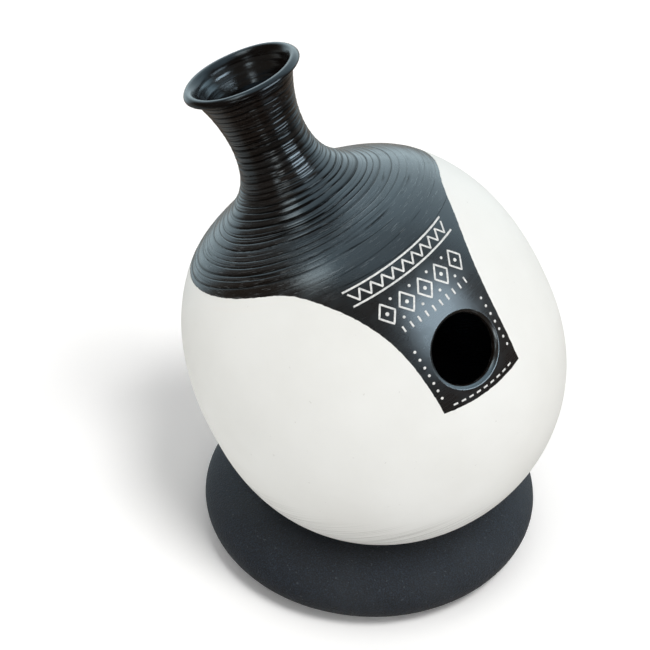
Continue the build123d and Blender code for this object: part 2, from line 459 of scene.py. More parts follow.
# White paint of the line work
PAINT = (0.80, 0.80, 0.78, 1)
WORN_PAINT = (0.52, 0.53, 0.53, 1)


def make_paint():
    material, tree, shader, place = new_material("line_paint")
    wear = in_range(tree, noise(tree, place, 520.0, 4.0), 0.35, 0.72)
    colour = mix_colour(tree, wear, PAINT, WORN_PAINT)
    bump = add_node(tree, "Bump", {"Strength": 0.3, "Distance": 0.0001, "Height": wear})
    roughness = in_range(tree, wear, 0.0, 1.0, 0.45, 0.65)
    link(tree, shader, base_color=colour, roughness=roughness, normal=bump.outputs["Normal"])
    return material


# Charcoal foam with fine open pores, sparse light specks and some dust
FOAM_DARK = (0.0018, 0.0030, 0.0060, 1)
FOAM_PALE = (0.0165, 0.026, 0.041, 1)
FOAM_SPECK = (0.060, 0.072, 0.084, 1)
FOAM_DUST = (0.022, 0.027, 0.032, 1)
FOAM_SHEEN = 0.05
FOAM_SHINE = 0.36


def make_foam():
    material, tree, shader, place = new_material("ring_foam")
    pores = add_node(tree, "TexVoronoi", {"Vector": place, "Scale": 700.0}).outputs["Distance"]
    speckle = noise(tree, place, 1150.0, 4.0)
    specks = in_range(tree, noise(tree, place, 480.0, 1.0), 0.70, 0.75, 0.0, 0.5)
    dust = in_range(tree, noise(tree, place, 30.0, 4.0), 0.45, 0.75, 0.0, 0.35)
    colour = mix_colour(tree, in_range(tree, speckle, 0.42, 0.68), FOAM_DARK, FOAM_PALE)
    colour = mix_colour(tree, specks, colour, FOAM_SPECK)
    colour = mix_colour(tree, dust, colour, FOAM_DUST)
    relief = calculate(tree, "ADD", pores, speckle)
    bump = add_node(tree, "Bump", {"Strength": 0.6, "Distance": 0.0006, "Height": relief})
    roughness = in_range(tree, speckle, 0.3, 0.7, 0.72, 0.90)
    link(tree, shader, base_color=colour, roughness=roughness, normal=bump.outputs["Normal"])
    shader.inputs["Sheen Weight"].default_value = FOAM_SHEEN
    shader.inputs["Specular IOR Level"].default_value = FOAM_SHINE
    return material


clay = make_clay()
paint = make_paint()
foam = make_foam()


# Where the black coat ends
EDGE_POINTS = 1500
NEAREST_OFF = 1e-4


def turn_off(turn, middle):
    return (turn - middle + pi) % (2 * pi) - pi


def bottom_height(turn):
    """Height of the tongue's bottom line."""
    return TONGUE_BOTTOM + TONGUE_BOTTOM_SAG * turn_off(turn, TONGUE_BOTTOM_TURN) ** 2


def edge_height(turn):
    """Height of the black coat's lower edge at a turn outside the tongue's middle."""
    off = np.maximum(np.abs(turn_off(turn, TONGUE_TURN)) - TONGUE_HALF, NEAREST_OFF)
    drop = FLARE_DROP * np.log1p((FLARE_TURN / off) ** FLARE_RATE)
    return EDGE_HEIGHT - EDGE_TILT * np.cos(turn - EDGE_TILT_TURN) - drop


def make_edge_tree():
    """Search tree of points along the black coat's edge, closer together beside the tongue."""
    off = TONGUE_HALF + (pi - TONGUE_HALF) * np.linspace(0.01, 1, EDGE_POINTS) ** 3
    turn = np.concatenate([TONGUE_TURN + off, TONGUE_TURN - off])
    along = edge_height(turn)
    turn, along = turn[along > DOME_FOOT], along[along > DOME_FOOT]
    points = on_pot(np.interp(along, outline_height, outline_distance), along, turn)
    tree = kdtree.KDTree(len(points))
    for i, point in enumerate(points):
        tree.insert(point, i)
    tree.balance()
    return tree


def edge_fields(turn, along, points):
    """How far points lie inside the black coat, from its sides and from the tongue's bottom line."""
    away = np.array([edge_tree.find(point)[2] for point in points])
    off = turn_off(turn, TONGUE_TURN)
    inside = (np.abs(off) < TONGUE_HALF) | (along > edge_height(turn))
    bottom = np.where(np.abs(off) < pi / 4, along - bottom_height(turn), FAR_INSIDE)
    return np.where(inside, away, -away), bottom


# Outline of the neck, as a length up it from the seam
seam_out = (SEAM_RADIUS / BODY_RADIUS) ** (DOME_FULLNESS - 1) / BODY_RADIUS
seam_up = (SEAM_HEIGHT / DOME_RISE) ** (DOME_FULLNESS - 1) / DOME_RISE
seam_way = unit(np.array((-seam_up, seam_out)))
neck_length, neck_line = clamped_spline(NECK_STATIONS, seam_way, (sin(NECK_FLARE), cos(NECK_FLARE)))
neck_ways = unit(np.gradient(neck_line, axis=0))
neck_ways[0] = seam_way
NECK_END = neck_length[-1]
OUTLINE_STEPS = 600

dome_heights = np.linspace(DOME_FOOT, SEAM_HEIGHT, OUTLINE_STEPS)
outline_height = np.concatenate([dome_heights, SEAM_HEIGHT + neck_line[1:, 1]])
outline_distance = np.concatenate([dome_distance(dome_heights), neck_line[1:, 0]])
edge_tree = make_edge_tree()

# Throwing ridges: one groove that winds up the neck, wider apart on the shoulder
RIDGE_SPACING = (0.0085, 0.0041)
RIDGE_NARROWING = 0.065
RIDGE_SPREAD = (0.65, 1.35)
FIRST_RIDGE = -0.004
RIDGE_OVERRUN = 0.02
RIDGE_CHANGES = 5
RIDGE_SWAY = 0.10
RIDGE_RIPPLE = 0.05
GROOVE_WIDTH = 0.00046
BOLD_WAY = (0.030, 0.060, 0.105, 0.125)
BOLDNESS = (0.62, 1.0, 1.0, 0.65)
GROOVE_DEPTH = (0.00010, 0.00070)
GROOVE_RARITY = 1.6
STEP_DEPTH = (0.00002, 0.00024)
STEP_RARITY = 1.8
CROWN_DEPTH = 0.00015
CROWN_ROUNDNESS = 0.7
SCORE_WIDTH = 0.00034
SCORE_DEPTH = (-0.00012, 0.00024)
SCORE_PLACE = (0.3, 0.75)
RIDGE_FADE = 0.003

# Where the ridges are calmer: above the tongue, and on one flank of the shoulder
SMOOTH_TURN = 0.75
SMOOTH_HEIGHT = 0.030
SMOOTH_START = 1.4
SMOOTHNESS = 0.8
CALM_TURN = radians(60.0)
CALM_SPREAD = 0.6
CALM_HEIGHT = 0.036
CALM_START = 1.7
CALM_GROOVE = 0.15
CALM_STEP = 0.2

ridge_places = [FIRST_RIDGE]
while ridge_places[-1] < NECK_END + RIDGE_OVERRUN:
    spacing = np.interp(ridge_places[-1], (0, RIDGE_NARROWING), RIDGE_SPACING)
    ridge_places.append(ridge_places[-1] + spacing * chance.uniform(*RIDGE_SPREAD))
ridge_count = (len(ridge_places) + 3) * RIDGE_CHANGES
groove_depths = np.interp(chance.random(ridge_count) ** GROOVE_RARITY, (0, 1), GROOVE_DEPTH)
step_depths = np.interp(chance.random(ridge_count) ** STEP_RARITY, (0, 1), STEP_DEPTH)
score_depths = np.maximum(chance.uniform(*SCORE_DEPTH, ridge_count), 0)
score_places = chance.uniform(*SCORE_PLACE, ridge_count)


def ridge_depth(way, turn):
    """How deep the neck's outside lies under its ridges' tops. Each ridge has a narrow groove under it,
    a ledge above the groove, a low crown and sometimes a fine score."""
    number = np.interp(way, ridge_places, np.arange(len(ridge_places)))
    spacing = np.interp(way, (0, RIDGE_NARROWING), RIDGE_SPACING)
    ripple = RIDGE_RIPPLE * np.sin(5 * turn + 0.8 * number)
    number = number + RIDGE_SWAY * np.sin(2 * turn + 1.3) + ripple
    round_share = (turn % (2 * pi)) / (2 * pi)
    thread = number - round_share + 1
    share = thread - np.floor(thread)
    place = (np.floor(thread) + round_share) * RIDGE_CHANGES
    groove, step, score, score_place = (
        np.interp(place, np.arange(ridge_count), values)
        for values in (groove_depths, step_depths, score_depths, score_places)
    )
    calm = np.clip(np.cos(turn - CALM_TURN), 0, 1) ** CALM_SPREAD
    calm = calm * np.clip(CALM_START - way / CALM_HEIGHT, 0, 1)
    boldness = np.interp(way, BOLD_WAY, BOLDNESS)
    groove = groove * (groove / GROOVE_DEPTH[1]) ** (CALM_GROOVE * calm) * boldness
    step = step * boldness * (1 - CALM_STEP * calm)
    score = score * (1 - calm)
    from_groove = np.minimum(share, 1 - share) * spacing
    groove_width = GROOVE_WIDTH * np.sqrt(spacing / RIDGE_SPACING[1])
    depth = groove * np.exp(-((from_groove / groove_width) ** 2))
    depth = depth + step * (1 - share) * np.clip(share * spacing / GROOVE_WIDTH, 0, 1)
    depth = depth + CROWN_DEPTH * boldness * (1 - np.sin(pi * share) ** CROWN_ROUNDNESS)
    depth = depth + score * np.exp(-(((share - score_place) * spacing / SCORE_WIDTH) ** 2))
    fade = np.clip(way / RIDGE_FADE, 0, 1) * np.clip((NECK_END - way) / RIDGE_FADE, 0, 1)
    toward = np.exp(-((turn_off(turn, TONGUE_TURN) / SMOOTH_TURN) ** 2))
    toward = toward * np.clip(SMOOTH_START - way / SMOOTH_HEIGHT, 0, 1)
    return depth * fade * (1 - SMOOTHNESS * toward)


def neck_surface(way, turn):
    """Points of the neck's outside, at a length up its outline."""
    inside = np.clip(way, 0, NECK_END)
    beyond = way - inside
    out, up = (np.interp(inside, neck_length, neck_ways[:, axis]) for axis in (0, 1))
    distance, height = (np.interp(inside, neck_length, neck_line[:, axis]) for axis in (0, 1))
    sunk = ridge_depth(inside, turn)
    along = SEAM_HEIGHT + height + beyond * up + out * sunk
    return on_pot(distance + beyond * out - up * sunk, along, turn)


# Lower bowl
def make_bowl():
    turn = HOLE_TURN + np.linspace(0, 2 * pi, TURNS, endpoint=False)
    climb = np.linspace(0, pi / 2, BOWL_RINGS, endpoint=False)[:, None]
    grids = []
    for growth in (0.0, -BODY_WALL):
        distance = (BODY_RADIUS + growth) * np.cos(climb) ** (2 / BOWL_FULLNESS)
        depth = (BOWL_DEPTH + growth) * np.sin(climb) ** (2 / BOWL_FULLNESS)
        grids.append((distance, -depth))
    (distance, along), (inner_distance, inner_along) = grids
    outside = on_pot(distance, along, turn)[::-1]
    points = np.concatenate([outside, on_pot(inner_distance, inner_along, turn)])
    poles = POT_CENTRE - np.outer((BOWL_DEPTH, BOWL_DEPTH - BODY_WALL), POT_Z)
    points = np.concatenate([points.reshape(-1, 3), poles])
    count = len(points) - 2
    faces = grid_quads(2 * BOWL_RINGS, TURNS).tolist()
    for i in range(TURNS):
        after = (i + 1) % TURNS
        faces.append((count, i, after))
        faces.append((count + 1, count - TURNS + i, count - TURNS + after))
    outer = bulge_normals(turn, distance, along, BOWL_DEPTH, BOWL_FULLNESS)[::-1].reshape(-1, 3)
    normals = np.zeros_like(points)
    normals[: len(outer)] = outer
    normals[count] = -POT_Z
    way = (points - POT_CENTRE) @ POT_Z
    side = np.full(len(points), -FAR_INSIDE)
    side[len(outer) : count] = FAR_INSIDE
    side[count + 1] = FAR_INSIDE
    new_clay("lower_bowl", points, faces, normals, {"side_edge": side, "ring_way": way})


# Place and directions of the side hole
hole_middle = on_dome(HOLE_TURN, HOLE_HEIGHT)
hole_way = dome_normals(HOLE_TURN, np.array(HOLE_HEIGHT))
hole_side = unit(np.cross(POT_Z, hole_way))
hole_rise = np.cross(hole_way, hole_side)


def hole_distance(points):
    """Distance of points from the hole's axis."""
    place = points - hole_middle
    return np.linalg.norm(place - (place @ hole_way)[..., None] * hole_way, axis=-1)


def hole_share(edge_turn, edge_along, growth):
    """Share of the way from the hole's middle to the window's edge where the lip's circle is met."""
    near, far = np.zeros(len(edge_turn)), np.ones(len(edge_turn))
    for _ in range(HALVINGS):
        middle = (near + far) / 2
        turn = HOLE_TURN + (edge_turn - HOLE_TURN) * middle
        along = HOLE_HEIGHT + (edge_along - HOLE_HEIGHT) * middle
        short = hole_distance(on_dome(turn, along, growth)) < LIP_RADIUS
        near, far = np.where(short, middle, near), np.where(short, far, middle)
    return near


def window_loop():
    """Columns and rows of the grid's points round the window that the hole's own loops fill."""
    columns = np.arange(-WINDOW_COLUMNS, WINDOW_COLUMNS)
    rows = np.arange(*WINDOW_ROWS)
    low, high = (np.full(len(columns), row) for row in WINDOW_ROWS)
    left, right = (np.full(len(rows), column) for column in (-WINDOW_COLUMNS, WINDOW_COLUMNS))
    loop_columns = np.concatenate([columns, right, -columns, left])
    return loop_columns, np.concatenate([low, rows, high, WINDOW_ROWS[0] + WINDOW_ROWS[1] - rows])


def dome_sheet(growth):
    """Turns and heights of one side's points, its faces, and its bottom, top and hole loops."""
    columns, rows = np.meshgrid(np.arange(TURNS), np.arange(DOME_RINGS + 1))
    turn = HOLE_TURN + 2 * pi * columns.ravel() / TURNS
    along = SEAM_HEIGHT * rows.ravel() / DOME_RINGS
    quads = grid_quads(DOME_RINGS + 1, TURNS)
    quad_column = (quads[:, 0] % TURNS + TURNS // 2) % TURNS - TURNS // 2
    quad_row = quads[:, 0] // TURNS
    in_window = (quad_column >= -WINDOW_COLUMNS) & (quad_column < WINDOW_COLUMNS)
    in_window &= (quad_row >= WINDOW_ROWS[0]) & (quad_row < WINDOW_ROWS[1])
    faces = [quads[~in_window]]
    loop_columns, loop_rows = window_loop()
    loop = loop_rows * TURNS + loop_columns % TURNS
    edge_turn = HOLE_TURN + 2 * pi * loop_columns / TURNS
    edge_along = SEAM_HEIGHT * loop_rows / DOME_RINGS
    share = hole_share(edge_turn, edge_along, growth)
    for step in range(1, WINDOW_LOOPS + 1):
        place = 1 + (share - 1) * step / WINDOW_LOOPS
        next_loop = len(turn) + np.arange(len(loop))
        turn = np.concatenate([turn, HOLE_TURN + (edge_turn - HOLE_TURN) * place])
        along = np.concatenate([along, HOLE_HEIGHT + (edge_along - HOLE_HEIGHT) * place])
        faces.append(loop_quads(loop, next_loop))
        loop = next_loop
    bottom = np.arange(TURNS)
    return turn, along, np.concatenate(faces), (bottom, bottom + DOME_RINGS * TURNS, loop)


# Upper dome, with the round cut for the lip
def make_dome():
    turn, along, faces, loops = dome_sheet(0.0)
    inner_turn, inner_along, inner_faces, inner_loops = dome_sheet(-BODY_WALL)
    count = len(turn)
    outer_points = on_dome(turn, along)
    points = np.concatenate([outer_points, on_dome(inner_turn, inner_along, -BODY_WALL)])
    sides = [loop_quads(loop, inner + count) for loop, inner in zip(loops, inner_loops)]
    faces = np.concatenate([faces, inner_faces + count, *sides])
    used, faces = np.unique(faces, return_inverse=True)
    faces = faces.reshape(-1, 4)
    side, bottom = edge_fields(turn, along, outer_points)
    normals = np.concatenate([dome_normals(turn, along), np.zeros_like(points[count:])])
    inner = np.full(count, FAR_INSIDE)
    fields = {
        "side_edge": np.concatenate([side, inner])[used],
        "bottom_edge": np.concatenate([bottom, inner])[used],
        "ring_way": np.concatenate([along, inner_along])[used],
    }
    new_clay("upper_dome", points[used], faces, normals[used], fields)


# Neck with its throwing ridges, and low rings inside
INNER_RIDGE_SPACING = 0.0062
INNER_RIDGE_DEPTH = 0.00010
INNER_SWAY = 1.5
INNER_RIPPLE = 0.8
INNER_WAY_STEP = 0.0005
INNER_BURNISH = 0.55
EDGE_REACH = 0.02


def make_neck():
    turn = HOLE_TURN + np.linspace(0, 2 * pi, NECK_TURNS, endpoint=False)
    way = np.linspace(0, NECK_END, NECK_RINGS)[:, None]
    outer = neck_surface(way, turn)
    thinning = np.clip(1 - (NECK_END - neck_length) / THINNING_LENGTH, 0, 1)
    wall = NECK_WALL + (MOUTH_WALL - NECK_WALL) * thinning**2 * (3 - 2 * thinning)
    inset = neck_line - wall[:, None] * np.stack([neck_ways[:, 1], -neck_ways[:, 0]], -1)

    def inside(height, around):
        rings = height / INNER_RIDGE_SPACING
        wave = 2 * pi * rings + INNER_SWAY * np.sin(around) + INNER_RIPPLE * np.sin(9 * rings)
        rise = INNER_RIDGE_DEPTH * np.sin(wave) * np.clip((NECK_LENGTH - height) / RIDGE_FADE, 0, 1)
        return on_pot(np.interp(height, inset[:, 1], inset[:, 0]) + rise, SEAM_HEIGHT + height, around)

    inner_height = np.linspace(NECK_LENGTH, 0, INNER_RINGS)[:, None]
    inner = inside(inner_height, turn)
    points = np.concatenate([outer, inner]).reshape(-1, 3)
    faces = grid_quads(NECK_RINGS + INNER_RINGS, NECK_TURNS, closed_rows=True)
    outer_way, outer_turn = (grid.ravel() for grid in np.broadcast_arrays(way, turn))
    inner_grids = (grid.ravel() for grid in np.broadcast_arrays(inner_height, turn))
    outer_normals = normals_of(neck_surface, outer_way, outer_turn)
    inner_normals = -normals_of(inside, *inner_grids, INNER_WAY_STEP)
    normals = np.concatenate([outer_normals, inner_normals])
    side = np.full(len(points), FAR_INSIDE)
    low = np.flatnonzero(outer_way < EDGE_REACH)
    low_height = SEAM_HEIGHT + np.interp(outer_way[low], neck_length, neck_line[:, 1])
    side[low] = edge_fields(outer_turn[low], low_height, points[low])[0]
    inner_way = np.repeat(inner_height.ravel(), NECK_TURNS)
    hidden = np.arange(len(points)) >= len(outer_way)
    fields = {
        "side_edge": side,
        "ring_way": SEAM_HEIGHT + np.concatenate([outer_way, inner_way]),
        # The inside gets painted shade
        "inside": hidden,
        # Depth of the ridges, which sets the painted shade in their grooves
        "sunk": np.concatenate([ridge_depth(outer_way, outer_turn), np.zeros(len(inner_way))]),
        "burnished": INNER_BURNISH * hidden,
    }
    new_clay("neck", points, faces, normals, fields)


# Rolled rim: the neck's inside flares on to the lip, which rolls over outwards
RIM_SECTION = (
    (0.0317, -0.0016),
    (0.0325, 0.0004),
    (0.0335, 0.0022),
    (0.0347, 0.0037),
    (0.0361, 0.0045),
    (0.0375, 0.0045),
    (0.0389, 0.0037),
    (0.0399, 0.0023),
    (0.0402, 0.0007),
    (0.0394, -0.0005),
    (0.0378, -0.0014),
    (0.0361, -0.0021),
    (0.0344, -0.0029),
)
RIM_END_WAY = (-0.8, -0.6)
RIM_STEPS = 40
RIM_WAVE = 0.00015
RIM_WAVE_HEIGHT = 0.003
RIM_SHADE_AND_DULLNESS = 0.00015


def make_rim():
    """The rim is given a sunk field, which gives it the grooves' painted shade and duller gloss, as a
    shallow groove would.
    """
    lengths, line = clamped_spline(RIM_SECTION, (sin(NECK_FLARE), cos(NECK_FLARE)), RIM_END_WAY)
    turn = HOLE_TURN + np.linspace(0, 2 * pi, TURNS, endpoint=False)
    steps = np.linspace(0, lengths[-1], RIM_STEPS)[:, None]

    def surface(way, around):
        way = np.clip(way, 0, lengths[-1])
        distance, height = (np.interp(way, lengths, line[:, axis]) for axis in (0, 1))
        wave = RIM_WAVE * (np.sin(2 * around + 1.0) + 0.6 * np.sin(5 * around + 0.4) - 1.6)
        height = height + np.clip(height / RIM_WAVE_HEIGHT, 0, 1) * wave
        return on_pot(distance, SEAM_HEIGHT + NECK_LENGTH + height, around)

    way, around = (grid.ravel() for grid in np.broadcast_arrays(steps, turn))
    points = surface(way, around)
    normals = -normals_of(surface, way, around)
    faces = grid_quads(RIM_STEPS, TURNS, closed_rows=True)
    # The rim counts as inside and as slightly sunk, so it gets both painted shades and duller gloss
    fields = {"ring_way": SEAM_HEIGHT + NECK_END + way, "inside": 1.0, "sunk": RIM_SHADE_AND_DULLNESS}
    new_clay("mouth_rim", points, faces, normals, fields)


# Lip of the side hole: the dome's skin rolls over into the hole
LIP_SECTION = (
    (LIP_RADIUS, 0.0),
    (0.0257, -0.0002),
    (0.0247, -0.0010),
    (0.0238, -0.0020),
    (HOLE_RADIUS, -0.0038),
    (0.0237, -0.0058),
    (0.0250, -0.0070),
    (LIP_RADIUS, -0.0072),
)
LIP_TURNS = 144
LIP_STEPS = 28
LIP_SEARCH = (-0.02, 0.005)


def over_dome(radius, turn, lift):
    """Points round the hole's axis, lifted off the dome's skin as it would run on across the hole."""
    spokes = np.cos(turn)[..., None] * hole_side + np.sin(turn)[..., None] * hole_rise
    aside = radius[..., None] * spokes
    low, high = (np.full(radius.shape, end) for end in LIP_SEARCH)
    for _ in range(HALVINGS):
        middle = (low + high) / 2
        place = hole_middle + aside + middle[..., None] * hole_way - POT_CENTRE
        along = place @ POT_Z
        outside = np.hypot(place @ POT_X, place @ POT_Y) > dome_distance(along)
        low, high = np.where(outside, low, middle), np.where(outside, middle, high)
    return hole_middle + aside + (low + lift)[..., None] * hole_way


def make_lip():
    lengths, line = clamped_spline(LIP_SECTION, (-1.0, 0.0), (1.0, 0.0))
    steps = np.linspace(0, lengths[-1], LIP_STEPS)[:, None]
    turn = np.linspace(0, 2 * pi, LIP_TURNS, endpoint=False)

    def surface(way, around):
        radius, lift = (np.interp(way, lengths, line[:, axis]) for axis in (0, 1))
        return over_dome(radius, around, lift)

    way, around = (grid.ravel() for grid in np.broadcast_arrays(steps, turn))
    points = surface(way, around)
    faces = grid_quads(LIP_STEPS, LIP_TURNS, closed_rows=True)
    normals = np.zeros_like(points)
    shown = slice(LIP_TURNS, (LIP_STEPS - 1) * LIP_TURNS)
    exact = normals_of(surface, way[shown], around[shown])
    facing = np.sum(exact[:LIP_TURNS] * hole_way, axis=-1).mean()
    normals[shown] = exact if facing > 0 else -exact
    edge = points[:LIP_TURNS] - POT_CENTRE
    edge_turn = np.arctan2(edge @ POT_Y, edge @ POT_X)
    normals[:LIP_TURNS] = dome_normals(edge_turn, edge @ POT_Z)
    fields = {"ring_way": SEAM_HEIGHT + way, "burnished": 1.0}
    new_clay("hole_lip", points, faces, normals, fields)


# Foam ring: a round section, pressed flat on the ground and hollowed by the pot
RING_TURNS = 300
RING_STEPS = 120
RING_LUMP = 0.0003


def make_ring():
    turn = np.linspace(0, 2 * pi, RING_TURNS, endpoint=False)
    tilt = np.linspace(0, 2 * pi, RING_STEPS, endpoint=False)[:, None]
    half_height = (RING_HEIGHT + RING_FLATTENING) / 2
    lump = np.sin(3 * turn + 2 * tilt) + np.sin(7 * turn - 3 * tilt + 1.0)
    lump = lump + np.sin(11 * turn + tilt + 2.0)
    shrink = RING_LUMP * (lump / 3 - 1) / 2
    distance = RING_RADIUS - RING_WIDTH / 2 + (RING_WIDTH / 2 + shrink) * np.cos(tilt)
    height = np.maximum(RING_HEIGHT - half_height + (half_height + shrink) * np.sin(tilt), 0)
    points = np.stack([distance * np.cos(turn), distance * np.sin(turn), height], -1).reshape(-1, 3)
    share = bowl_depth_share(points, SEAT_GAP)
    pressed = (points - POT_CENTRE) / np.minimum(share, 1)[:, None]
    faces = grid_quads(RING_STEPS, RING_TURNS, closed_rows=True)
    piece = new_piece("foam_ring_soft", POT_CENTRE + pressed, faces, foam)
    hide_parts("foam_ring")
    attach(piece, "ring")


# Line work on the tongue, as thin raised strokes
LINE_WIDTH = 0.0013
LINE_LIFT = 0.00014
LINE_SINK = 0.0003
LINE_STEP = 0.0008
LINE_EDGE = 0.1 * LINE_LIFT
LINE_SECTION = (
    (-0.5, LINE_EDGE),
    (-0.3, LINE_LIFT),
    (0.3, LINE_LIFT),
    (0.5, LINE_EDGE),
    (0.5, -LINE_SINK),
    (-0.5, -LINE_SINK),
)
DOT_SECTION = ((1.0, -LINE_SINK), (1.0, LINE_EDGE), (0.6, LINE_LIFT))
DOT_TURNS = 14


class Strokes:
    """Points and faces of strokes and dots laid on the dome."""

    def __init__(self):
        self.points = []
        self.faces = []

    def add(self, points, faces):
        first = len(self.points)
        self.points.extend(points)
        self.faces.extend([[first + corner for corner in face] for face in faces])

    def line(self, places, closed=False):
        """Stroke through places on the dome, each a distance along the tongue's width and a height."""
        places = np.array(list(places) + ([places[0]] if closed else []))
        spans = np.hypot(*np.diff(places, axis=0).T)
        lengths = np.concatenate([[0], np.cumsum(spans)])
        steps = np.linspace(0, lengths[-1], max(int(lengths[-1] / LINE_STEP), 2) + 1)
        steps = np.unique(np.concatenate([steps, lengths]).round(7))
        aside, along = (np.interp(steps, lengths, places[:, axis]) for axis in (0, 1))
        turn = TONGUE_TURN + aside / dome_distance(along)
        middle, normal = on_dome(turn, along), dome_normals(turn, along)
        ways = np.gradient(middle, axis=0)
        if closed:
            ways[0] = ways[-1] = ways[0] + ways[-1]
        across = unit(np.cross(normal, ways))
        rails = []
        for share, lift in LINE_SECTION:
            rails.append(middle + across * LINE_WIDTH * share + normal * lift)
        width = len(rails)
        rows = np.stack(rails, 1)
        if closed:
            rows = rows[:-1]
        faces = grid_quads(len(rows), width, closed_rows=closed).tolist()
        if not closed:
            faces += [list(range(width)), list(range((len(rows) - 1) * width, len(rows) * width))]
        self.add(rows.reshape(-1, 3), faces)

    def dot(self, aside, along, radius):
        """Small raised round spot."""
        turn = TONGUE_TURN + aside / dome_distance(along)
        middle, normal = on_dome(turn, along), dome_normals(turn, np.array(along))
        first = unit(np.cross(normal, POT_Z))
        second = np.cross(normal, first)
        around = np.linspace(0, 2 * pi, DOT_TURNS, endpoint=False)
        spokes = np.cos(around)[:, None] * first + np.sin(around)[:, None] * second
        rows = [middle + spokes * radius * share + normal * lift for share, lift in DOT_SECTION]
        faces = grid_quads(len(rows), DOT_TURNS).tolist()
        faces += [list(range(DOT_TURNS)), list(range(2 * DOT_TURNS, 3 * DOT_TURNS))]
        self.add(np.concatenate(rows), faces)


# Design of the line work, in distances from the tongue's middle line and heights on the pot
BAND_HEIGHTS = (0.0985, 0.1075)
BAND_REACH = 0.044
TOOTH_HEIGHTS = (0.1057, 0.1003)
TEETH = np.linspace(-0.042, 0.042, 21)
LOZENGE_HEIGHT = 0.0860
LOZENGE_HALF = (0.0058, 0.0068)
LOZENGES = np.linspace(-0.030, 0.030, 5)
LOZENGE_DOT = 0.0013
SMALL_DOT = 0.0010
BETWEEN_HEIGHTS = (0.0795, 0.0925)
BETWEEN_DOTS = np.linspace(-0.0225, 0.0225, 4)
TICK_HEIGHTS = (0.0715, 0.0755)
TICKS = np.linspace(-0.027, 0.027, 10)
SIDE_DOT_REACH = 0.0297
SIDE_DOT_HEIGHTS = np.linspace(0.022, 0.058, 7)
DASHES = np.linspace(-0.0235, 0.0235, 9)
DASH_HALF = 0.0016
DASH_RISE = 0.0036


def make_lines():
    strokes = Strokes()
    for along in BAND_HEIGHTS:
        strokes.line([(-BAND_REACH, along), (BAND_REACH, along)])
    strokes.line([(aside, TOOTH_HEIGHTS[i % 2]) for i, aside in enumerate(TEETH)])
    for aside in LOZENGES:
        half, tall = LOZENGE_HALF
        ways = ((-half, 0), (0, tall), (half, 0), (0, -tall))
        strokes.line([(aside + x, LOZENGE_HEIGHT + y) for x, y in ways], closed=True)
        strokes.dot(aside, LOZENGE_HEIGHT, LOZENGE_DOT)
    for aside in BETWEEN_DOTS:
        for along in BETWEEN_HEIGHTS:
            strokes.dot(aside, along, SMALL_DOT)
    for aside in TICKS:
        strokes.line([(aside, along) for along in TICK_HEIGHTS])
    for aside in (-SIDE_DOT_REACH, SIDE_DOT_REACH):
        for along in SIDE_DOT_HEIGHTS:
            strokes.dot(aside, along, SMALL_DOT)
    for aside in DASHES:
        ends = np.array((aside - DASH_HALF, aside + DASH_HALF))
        along = bottom_height(TONGUE_TURN + ends / BODY_RADIUS) + DASH_RISE
        strokes.line(list(zip(ends, along)))
    piece = new_piece("line_work", strokes.points, strokes.faces, paint)
    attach(piece, "pot")


make_bowl()
make_dome()
make_neck()
make_rim()
make_lip()
make_ring()
make_lines()

# Camera
CAMERA_PLACE = (0.2295, -0.8614, 0.9008)
CAMERA_TURN = radians(17.183)
CAMERA_RISE = radians(39.005)
CAMERA_ROLL = radians(0.74)
CAMERA_LENS = 90.45
CAMERA_SENSOR = 36.0


def make_camera():
    camera = bpy.data.cameras.new("camera")
    camera.lens = CAMERA_LENS
    camera.sensor_width = CAMERA_SENSOR
    piece = bpy.data.objects.new("camera", camera)
    bpy.context.collection.objects.link(piece)
    look = Matrix.Rotation(CAMERA_TURN, 4, "Z") @ Matrix.Rotation(pi / 2 - CAMERA_RISE, 4, "X")
    piece.matrix_world = Matrix.Translation(CAMERA_PLACE) @ look @ Matrix.Rotation(CAMERA_ROLL, 4, "Z")
    bpy.context.scene.camera = piece


# Studio: a pale floor, plain light on the surfaces, and glows and boxes that only gloss shows
PLAIN_LEVEL = 0.45
DIM_LEVEL = 0.14
WARM_GLOSS = (1.0, 0.78, 0.60, 1)
COOL_GLOSS = (0.77, 0.94, 1.0, 1)
COOL_LEVEL = 0.8
FLOOR_RISE = (-0.25, 0.10)
BELOW_FLOOR_SHARE = 0.15
FLOOR_SIZE = 8.0
FLOOR_DROP = 0.0004
FLOOR_COLOUR = (0.92, 0.92, 0.92, 1)
FLOOR_SEEN = (1.16, 1.16, 1.16, 1)
AIM = (0.0, 0.0, 0.20)
BOX_DISTANCE = 1.6
LAMP_DISTANCE = 2.0

# Glows: direction, where they start and are full as cosines, and brightness
BACK_GLOW = ((-0.05, 0.92, 0.38), 0.25, 0.80, 2.4)
TOP_GLOW = ((-0.10, 0.10, 0.98), 0.72, 0.90, 1.7)
SIDE_GLOW = ((-0.80, 0.55, -0.10), 0.86, 1.0, 1.45)
LOW_GLOW = ((-0.75, -0.15, -0.62), 0.72, 0.98, 0.55)

# Soft boxes: turn and rise in degrees, width, height, brightness and colour
SOFT_BOXES = {
    "right_box": (72, 31, 1.04, 0.84, 10.5, (0.93, 0.98, 1.0)),
    "front_box": (18, 8, 0.40, 0.45, 6.0, (1.0, 0.92, 0.84)),
    "low_box": (-10, 22, 0.30, 0.40, 3.5, (1.0, 0.97, 0.92)),
    "left_box": (-50, 56, 0.65, 0.45, 6.0, (1.0, 0.97, 0.90)),
    "behind_box": (-138, 38, 0.45, 0.40, 3.5, (0.90, 0.97, 1.0)),
}

# Lamps: turn and rise in degrees, brightness, breadth in degrees and colour
LAMPS = {
    "key": (58, 65, 0.45, 18, (1.0, 0.99, 0.975)),
    "right_fill": (86, 7, 0.28, 40, (1.0, 1.0, 1.0)),
    "left_fill": (-46, 3, 0.385, 50, (1.0, 0.995, 0.965)),
}


